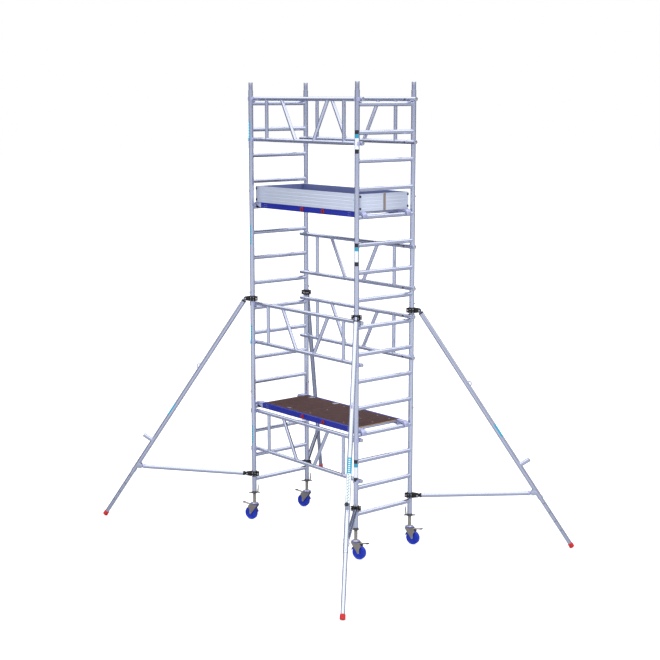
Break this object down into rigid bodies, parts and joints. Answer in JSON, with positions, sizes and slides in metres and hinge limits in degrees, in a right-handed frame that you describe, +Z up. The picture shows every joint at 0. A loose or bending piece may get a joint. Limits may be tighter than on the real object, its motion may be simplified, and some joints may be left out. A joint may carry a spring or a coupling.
{
  "type": "rolling scaffold tower",
  "caption": "Rolling aluminium scaffold tower of stacked ladder frames with hatch platforms, guardrails, toe boards, braked castors and swinging telescopic stabilisers.",
  "frame": {"origin": "centre of the tower on the ground, under the middle of its footprint", "axes": "+X along the tower's length towards the right-hand end frame, +Y across it towards the back, +Z up"},
  "size_m": [4.2908, 3.3008, 4.903],
  "materials": {
    "aluminium": "satin tube",
    "blue_rail": "blue coated aluminium",
    "deck_board": "film-faced plywood, dark brown, fine anti-slip grain",
    "toe_board_metal": "ribbed satin sheet",
    "zinc": "zinc plated, worn",
    "cast_metal": "rough cast, dark grey",
    "blue_tyre": "hard blue rubber",
    "black_cast": "black coated casting"
  },
  "bodies": {
    "tower": {"end_frame_1_left": "aluminium", "end_frame_1_right": "aluminium", "end_frame_2_left": "aluminium", "end_frame_2_right": "aluminium", "end_frame_3_left": "aluminium", "end_frame_3_right": "aluminium", "end_frame_4_left": "aluminium", "end_frame_4_right": "aluminium", "guardrail_front_low": "aluminium", "guardrail_front_middle": "aluminium", "guardrail_back_middle": "aluminium", "guardrail_back_high": "aluminium", "guardrail_front_top": "aluminium", "guardrail_back_top": "aluminium", "platform_frame_lower": "blue_rail", "platform_frame_upper": "blue_rail", "deck_lower": "deck_board", "deck_upper": "deck_board", "toe_board_front": "toe_board_metal", "toe_board_back": "toe_board_metal", "toe_board_left": "toe_board_metal", "toe_board_right": "toe_board_metal"},
    "hatch_lower": {"hatch_lower": "deck_board"},
    "hatch_upper": {"hatch_upper": "deck_board"},
    "leg_front_left": {"leg_spindle_front_left": "zinc"},
    "nut_front_left": {"adjusting_nut_front_left": "cast_metal"},
    "castor_front_left": {"castor_fork_front_left": "zinc"},
    "wheel_front_left": {"castor_wheel_front_left": "blue_tyre"},
    "pedal_front_left": {"brake_pedal_front_left": "zinc"},
    "stabiliser_front_left": {"stabiliser_clamp_front_left": "black_cast", "stabiliser_leg_front_left": "aluminium", "stabiliser_arm_front_left": "aluminium"},
    "foot_front_left": {"stabiliser_inner_leg_front_left": "aluminium"},
    "leg_front_right": {"leg_spindle_front_right": "zinc"},
    "nut_front_right": {"adjusting_nut_front_right": "cast_metal"},
    "castor_front_right": {"castor_fork_front_right": "zinc"},
    "wheel_front_right": {"castor_wheel_front_right": "blue_tyre"},
    "pedal_front_right": {"brake_pedal_front_right": "zinc"},
    "stabiliser_front_right": {"stabiliser_clamp_front_right": "black_cast", "stabiliser_leg_front_right": "aluminium", "stabiliser_arm_front_right": "aluminium"},
    "foot_front_right": {"stabiliser_inner_leg_front_right": "aluminium"},
    "leg_back_left": {"leg_spindle_back_left": "zinc"},
    "nut_back_left": {"adjusting_nut_back_left": "cast_metal"},
    "castor_back_left": {"castor_fork_back_left": "zinc"},
    "wheel_back_left": {"castor_wheel_back_left": "blue_tyre"},
    "pedal_back_left": {"brake_pedal_back_left": "zinc"},
    "stabiliser_back_left": {"stabiliser_clamp_back_left": "black_cast", "stabiliser_leg_back_left": "aluminium", "stabiliser_arm_back_left": "aluminium"},
    "foot_back_left": {"stabiliser_inner_leg_back_left": "aluminium"},
    "leg_back_right": {"leg_spindle_back_right": "zinc"},
    "nut_back_right": {"adjusting_nut_back_right": "cast_metal"},
    "castor_back_right": {"castor_fork_back_right": "zinc"},
    "wheel_back_right": {"castor_wheel_back_right": "blue_tyre"},
    "pedal_back_right": {"brake_pedal_back_right": "zinc"},
    "stabiliser_back_right": {"stabiliser_clamp_back_right": "black_cast", "stabiliser_leg_back_right": "aluminium", "stabiliser_arm_back_right": "aluminium"},
    "foot_back_right": {"stabiliser_inner_leg_back_right": "aluminium"}
  },
  "joints": [
    {"name": "hatch_lower_open", "type": "hinge", "parent": "tower", "child": "hatch_lower", "pos_m": [-0.435, 0.281, 1.373], "axis": [-1, 0, 0], "range_deg": [0, 90]},
    {"name": "hatch_upper_open", "type": "hinge", "parent": "tower", "child": "hatch_upper", "pos_m": [-0.435, 0.281, 3.613], "axis": [-1, 0, 0], "range_deg": [0, 90]},
    {"name": "leg_front_left_height", "type": "slide", "parent": "tower", "child": "leg_front_left", "axis": [0, 0, 1], "range_m": [-0.2, 0.1]},
    {"name": "nut_front_left_turn", "type": "hinge", "parent": "tower", "child": "nut_front_left", "pos_m": [-0.8775, -0.3825, 0.325], "axis": [0, 0, 1], "range_deg": [-4600, 9100]},
    {"name": "castor_front_left_swivel", "type": "hinge", "parent": "leg_front_left", "child": "castor_front_left", "pos_m": [-0.8775, -0.3825, 0.18], "axis": [0, 0, 1], "continuous": true},
    {"name": "wheel_front_left_roll", "type": "hinge", "parent": "castor_front_left", "child": "wheel_front_left", "pos_m": [-0.91697, -0.39686, 0.0753], "axis": [-0.342, 0.9397, 0], "continuous": true},
    {"name": "pedal_front_left_press", "type": "hinge", "parent": "castor_front_left", "child": "pedal_front_left", "pos_m": [-0.92636, -0.40029, 0.172], "axis": [0.342, -0.9397, 0], "range_deg": [0, 18]},
    {"name": "stabiliser_front_left_swing", "type": "hinge", "parent": "tower", "child": "stabiliser_front_left", "pos_m": [-0.8775, -0.3825, 2.544], "axis": [0, 0, 1], "range_deg": [-40, 40]},
    {"name": "foot_front_left_extend", "type": "slide", "parent": "stabiliser_front_left", "child": "foot_front_left", "axis": [-0.3874, -0.3874, -0.8366], "range_m": [-0.345, 0.115]},
    {"name": "leg_front_right_height", "type": "slide", "parent": "tower", "child": "leg_front_right", "axis": [0, 0, 1], "range_m": [-0.2, 0.1]},
    {"name": "nut_front_right_turn", "type": "hinge", "parent": "tower", "child": "nut_front_right", "pos_m": [0.8775, -0.3825, 0.325], "axis": [0, 0, 1], "range_deg": [-4600, 9100]},
    {"name": "castor_front_right_swivel", "type": "hinge", "parent": "leg_front_right", "child": "castor_front_right", "pos_m": [0.8775, -0.3825, 0.18], "axis": [0, 0, 1], "continuous": true},
    {"name": "wheel_front_right_roll", "type": "hinge", "parent": "castor_front_right", "child": "wheel_front_right", "pos_m": [0.91697, -0.36814, 0.0753], "axis": [-0.342, 0.9397, 0], "continuous": true},
    {"name": "pedal_front_right_press", "type": "hinge", "parent": "castor_front_right", "child": "pedal_front_right", "pos_m": [0.92636, -0.36471, 0.172], "axis": [-0.342, 0.9397, 0], "range_deg": [0, 18]},
    {"name": "stabiliser_front_right_swing", "type": "hinge", "parent": "tower", "child": "stabiliser_front_right", "pos_m": [0.8775, -0.3825, 2.544], "axis": [0, 0, 1], "range_deg": [-40, 40]},
    {"name": "foot_front_right_extend", "type": "slide", "parent": "stabiliser_front_right", "child": "foot_front_right", "axis": [0.3874, -0.3874, -0.8366], "range_m": [-0.345, 0.115]},
    {"name": "leg_back_left_height", "type": "slide", "parent": "tower", "child": "leg_back_left", "axis": [0, 0, 1], "range_m": [-0.2, 0.1]},
    {"name": "nut_back_left_turn", "type": "hinge", "parent": "tower", "child": "nut_back_left", "pos_m": [-0.8775, 0.3825, 0.325], "axis": [0, 0, 1], "range_deg": [-4600, 9100]},
    {"name": "castor_back_left_swivel", "type": "hinge", "parent": "leg_back_left", "child": "castor_back_left", "pos_m": [-0.8775, 0.3825, 0.18], "axis": [0, 0, 1], "continuous": true},
    {"name": "wheel_back_left_roll", "type": "hinge", "parent": "castor_back_left", "child": "wheel_back_left", "pos_m": [-0.91697, 0.36814, 0.0753], "axis": [-0.342, 0.9397, 0], "continuous": true},
    {"name": "pedal_back_left_press", "type": "hinge", "parent": "castor_back_left", "child": "pedal_back_left", "pos_m": [-0.92636, 0.36471, 0.172], "axis": [0.342, -0.9397, 0], "range_deg": [0, 18]},
    {"name": "stabiliser_back_left_swing", "type": "hinge", "parent": "tower", "child": "stabiliser_back_left", "pos_m": [-0.8775, 0.3825, 2.544], "axis": [0, 0, 1], "range_deg": [-40, 40]},
    {"name": "foot_back_left_extend", "type": "slide", "parent": "stabiliser_back_left", "child": "foot_back_left", "axis": [-0.3874, 0.3874, -0.8366], "range_m": [-0.345, 0.115]},
    {"name": "leg_back_right_height", "type": "slide", "parent": "tower", "child": "leg_back_right", "axis": [0, 0, 1], "range_m": [-0.2, 0.1]},
    {"name": "nut_back_right_turn", "type": "hinge", "parent": "tower", "child": "nut_back_right", "pos_m": [0.8775, 0.3825, 0.325], "axis": [0, 0, 1], "range_deg": [-4600, 9100]},
    {"name": "castor_back_right_swivel", "type": "hinge", "parent": "leg_back_right", "child": "castor_back_right", "pos_m": [0.8775, 0.3825, 0.18], "axis": [0, 0, 1], "continuous": true},
    {"name": "wheel_back_right_roll", "type": "hinge", "parent": "castor_back_right", "child": "wheel_back_right", "pos_m": [0.91697, 0.39686, 0.0753], "axis": [-0.342, 0.9397, 0], "continuous": true},
    {"name": "pedal_back_right_press", "type": "hinge", "parent": "castor_back_right", "child": "pedal_back_right", "pos_m": [0.92636, 0.40029, 0.172], "axis": [-0.342, 0.9397, 0], "range_deg": [0, 18]},
    {"name": "stabiliser_back_right_swing", "type": "hinge", "parent": "tower", "child": "stabiliser_back_right", "pos_m": [0.8775, 0.3825, 2.544], "axis": [0, 0, 1], "range_deg": [-40, 40]},
    {"name": "foot_back_right_extend", "type": "slide", "parent": "stabiliser_back_right", "child": "foot_back_right", "axis": [0.3874, 0.3874, -0.8366], "range_m": [-0.345, 0.115]}
  ],
  "couplings": [
    {"joint": "nut_front_left_turn", "follows": "leg_front_left_height", "rad_per_m": -785.4},
    {"joint": "nut_front_right_turn", "follows": "leg_front_right_height", "rad_per_m": -785.4},
    {"joint": "nut_back_left_turn", "follows": "leg_back_left_height", "rad_per_m": -785.4},
    {"joint": "nut_back_right_turn", "follows": "leg_back_right_height", "rad_per_m": -785.4}
  ]
}
